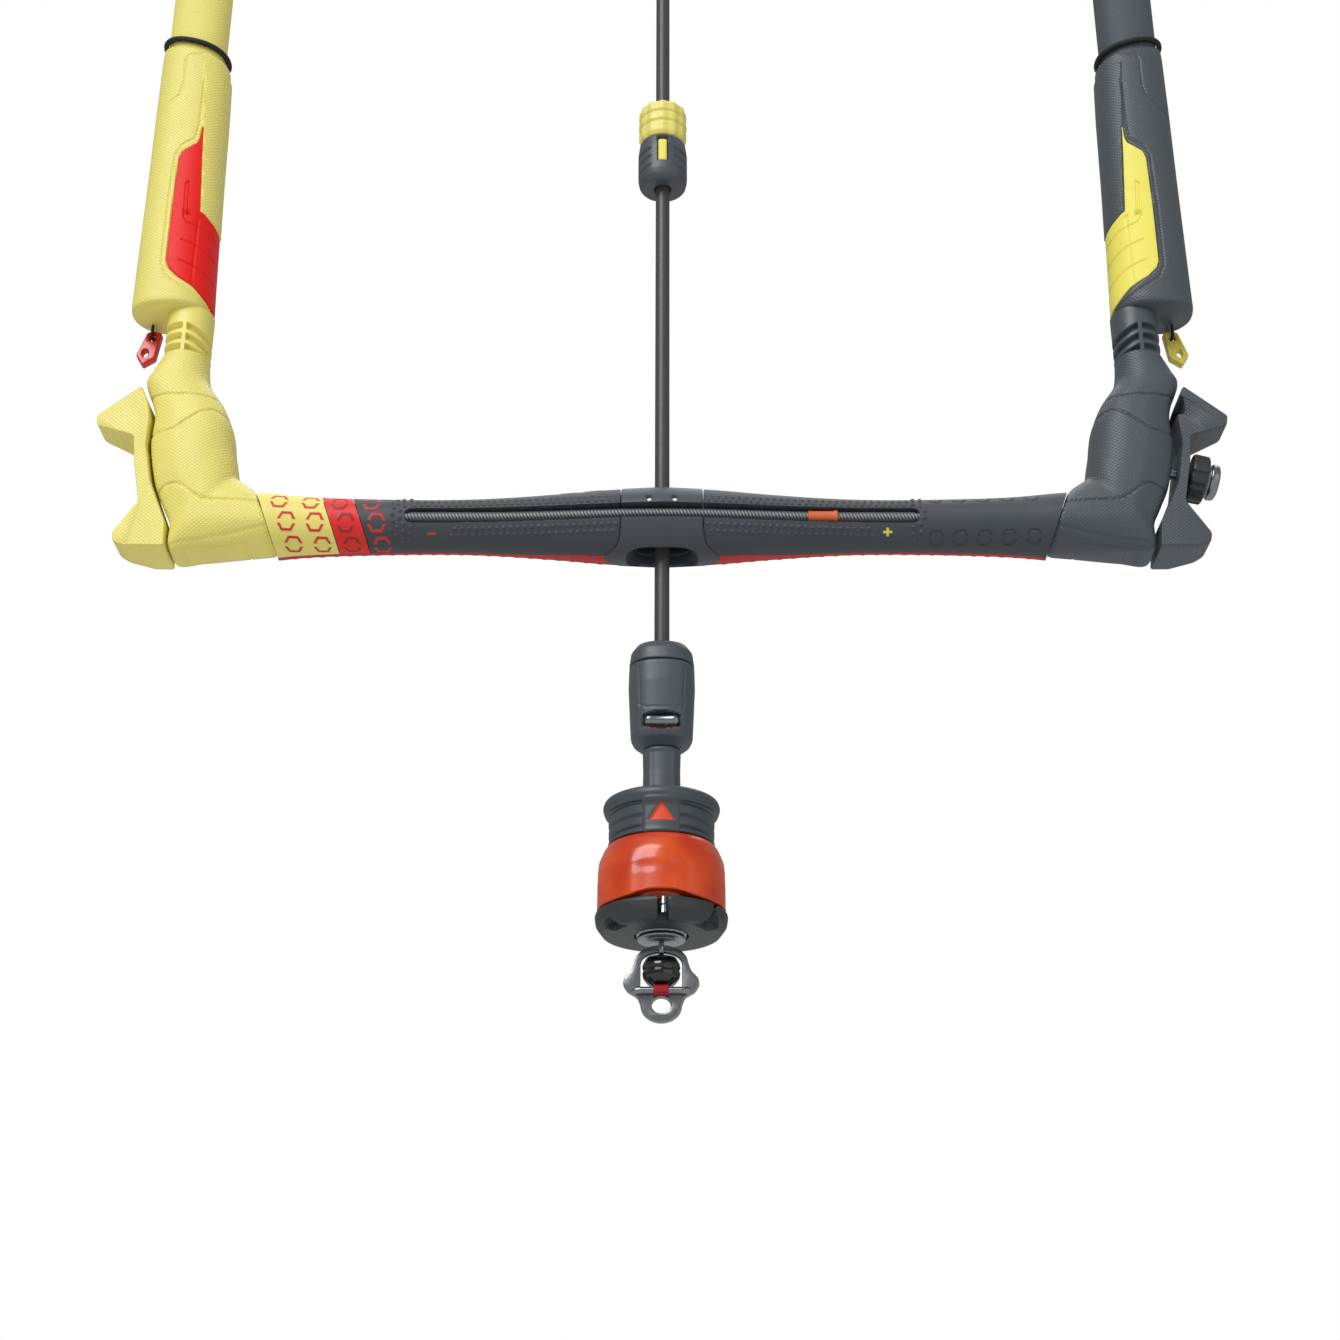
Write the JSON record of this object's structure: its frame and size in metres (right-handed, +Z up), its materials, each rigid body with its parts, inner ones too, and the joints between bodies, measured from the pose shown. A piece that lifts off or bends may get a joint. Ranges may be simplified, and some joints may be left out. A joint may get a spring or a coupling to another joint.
{
  "type": "kite control bar",
  "caption": "Kite control bar on its depower line, with end floats, trim winch, stopper and swivelling quick release.",
  "frame": {"origin": "the bearing point inside the eye at the kite end of the depower line, from which everything hangs", "axes": "+Z up the depower line towards the kite, +X along the bar towards the winch knob, -Y towards the rider's face side that carries the trim slot"},
  "size_m": [0.5772, 0.0627, 0.6458],
  "materials": {
    "slate_plastic": "satin, fine texture",
    "yellow_plastic": "satin, fine texture",
    "slate_foam": "matt grip foam",
    "red_foam": "matt grip foam",
    "yellow_foam": "matt grip foam",
    "red_plastic": "satin",
    "orange_cuff": "translucent, polished",
    "red_tab": "translucent",
    "yellow_tab": "translucent",
    "black_plastic": "satin",
    "steel": "satin",
    "core_aluminium": "extruded",
    "line_coating": "coated rope",
    "trim_braid": "braided line",
    "black_cord": "stretch cord",
    "red_cord": "whipping twine",
    "marker_plastic": "satin"
  },
  "bodies": {
    "line": {"depower_line": "line_coating", "line_end_eye": "steel", "head_cap": "slate_plastic", "release_head": "slate_plastic", "head_pin": "steel", "release_stem": "slate_plastic", "release_base": "black_plastic", "latch_pin": "steel", "release_spring": "steel"},
    "bar": {"centre_block": "slate_plastic", "tunnel_bush": "slate_plastic", "core_left": "core_aluminium", "core_right": "core_aluminium", "grip_front_left": "slate_foam", "grip_front_right": "slate_foam", "grip_back_left": "red_foam", "grip_back_right": "red_foam", "grip_band_red": "red_foam", "grip_band_yellow": "yellow_foam", "trim_line": "trim_braid", "bar_end_left": "yellow_plastic", "bar_end_right": "slate_plastic", "horn_left": "yellow_plastic", "horn_right": "slate_plastic", "pulley_pin": "steel"},
    "stopper": {"stopper_body": "slate_plastic", "stopper_insert": "yellow_plastic"},
    "stopper_ring": {"stopper_ring": "yellow_plastic"},
    "release_sleeve": {"release_collar": "slate_plastic", "release_cuff": "orange_cuff"},
    "bearing_cage": {"bearing_cage": "steel"},
    "swivel": {"swivel_spindle": "steel"},
    "shackle": {"shackle": "steel", "shackle_ball": "black_plastic", "tie_bar": "steel", "red_lashing": "red_cord"},
    "marker": {"trim_marker": "marker_plastic"},
    "pulley": {"return_pulley": "black_plastic"},
    "knob": {"knob": "black_plastic", "winch_axle": "steel", "winch_drum": "black_plastic", "ratchet_wheel": "steel", "button_washer": "steel"},
    "button": {"release_button": "steel"},
    "pawl": {"ratchet_pawl": "steel"},
    "float_left": {"neck_left": "yellow_plastic", "float_sleeve_left": "yellow_plastic", "float_insert_left": "red_plastic", "float_foam_left": "yellow_plastic", "float_ring_left": "black_cord", "tab_cord_left": "black_cord"},
    "float_right": {"neck_right": "slate_plastic", "float_sleeve_right": "slate_plastic", "float_insert_right": "yellow_plastic", "float_foam_right": "slate_plastic", "float_ring_right": "black_cord", "tab_cord_right": "black_cord"},
    "tab_left": {"tab_left": "red_tab"},
    "tab_right": {"tab_right": "yellow_tab"}
  },
  "joints": [
    {"name": "bar_slide", "type": "slide", "parent": "line", "child": "bar", "axis": [0, 0, 1], "range_m": [-0.045, 0.12]},
    {"name": "stopper_slide", "type": "slide", "parent": "line", "child": "stopper", "axis": [0, 0, 1], "range_m": [-0.05, 0.08]},
    {"name": "stopper_twist", "type": "hinge", "parent": "stopper", "child": "stopper_ring", "pos_m": [0, 0, -0.15], "axis": [0, 0, 1], "range_deg": [0, 45]},
    {"name": "release_slide", "type": "slide", "parent": "line", "child": "release_sleeve", "axis": [0, 0, 1], "range_m": [0, 0.008], "stiffness_N_per_m": 400, "springref_m": -0.01, "deforming": ["release_spring"]},
    {"name": "swivel_spin", "type": "hinge", "parent": "line", "child": "swivel", "pos_m": [0, 0, -0.601], "axis": [0, 0, 1], "continuous": true},
    {"name": "cage_spin", "type": "hinge", "parent": "line", "child": "bearing_cage", "pos_m": [0, 0, -0.599], "axis": [0, 0, 1], "continuous": true},
    {"name": "shackle_tilt", "type": "hinge", "parent": "swivel", "child": "shackle", "pos_m": [0, 0, -0.6066], "axis": [1, 0, 0], "range_deg": [-25, 25]},
    {"name": "knob_spin", "type": "hinge", "parent": "bar", "child": "knob", "pos_m": [0.2685, 0, -0.3574], "axis": [0.9715, 0, -0.2368], "range_deg": [-1390, 270]},
    {"name": "marker_slide", "type": "slide", "parent": "bar", "child": "marker", "axis": [1, 0, 0], "range_m": [-0.198, 0.04]},
    {"name": "pulley_spin", "type": "hinge", "parent": "bar", "child": "pulley", "pos_m": [-0.247, 0, -0.352], "axis": [0, 1, 0], "range_deg": [-2240, 440]},
    {"name": "button_press", "type": "slide", "parent": "knob", "child": "button", "axis": [-0.9715, 0, 0.2368], "range_m": [0, 0.003], "stiffness_N_per_m": 600, "springref_m": -0.002},
    {"name": "pawl_lift", "type": "hinge", "parent": "bar", "child": "pawl", "pos_m": [0.25439, 0.0035, -0.34335], "axis": [-0.9715, 0, 0.2368], "range_deg": [-0.6, 5.6]},
    {"name": "float_flex_left", "type": "hinge", "parent": "bar", "child": "float_left", "pos_m": [-0.2505, 0, -0.287], "axis": [0, 1, 0], "range_deg": [-15, 15], "stiffness_Nm_per_rad": 6},
    {"name": "float_flex_right", "type": "hinge", "parent": "bar", "child": "float_right", "pos_m": [0.2505, 0, -0.287], "axis": [0, 1, 0], "range_deg": [-15, 15], "stiffness_Nm_per_rad": 6},
    {"name": "tab_swing_left", "type": "hinge", "parent": "float_left", "child": "tab_left", "pos_m": [-0.2705, 0.01, -0.2685], "axis": [0, 1, 0], "range_deg": [-12, 12]},
    {"name": "tab_swing_right", "type": "hinge", "parent": "float_right", "child": "tab_right", "pos_m": [0.2705, 0.01, -0.2685], "axis": [0, 1, 0], "range_deg": [-12, 12]}
  ],
  "couplings": [
    {"joint": "cage_spin", "follows": "swivel_spin", "ratio": 0.5},
    {"joint": "marker_slide", "follows": "knob_spin", "m_per_rad": 0.008},
    {"joint": "pulley_spin", "follows": "knob_spin", "ratio": 1.6},
    {"joint": "pawl_lift", "follows": "button_press", "rad_per_m": 29}
  ]
}
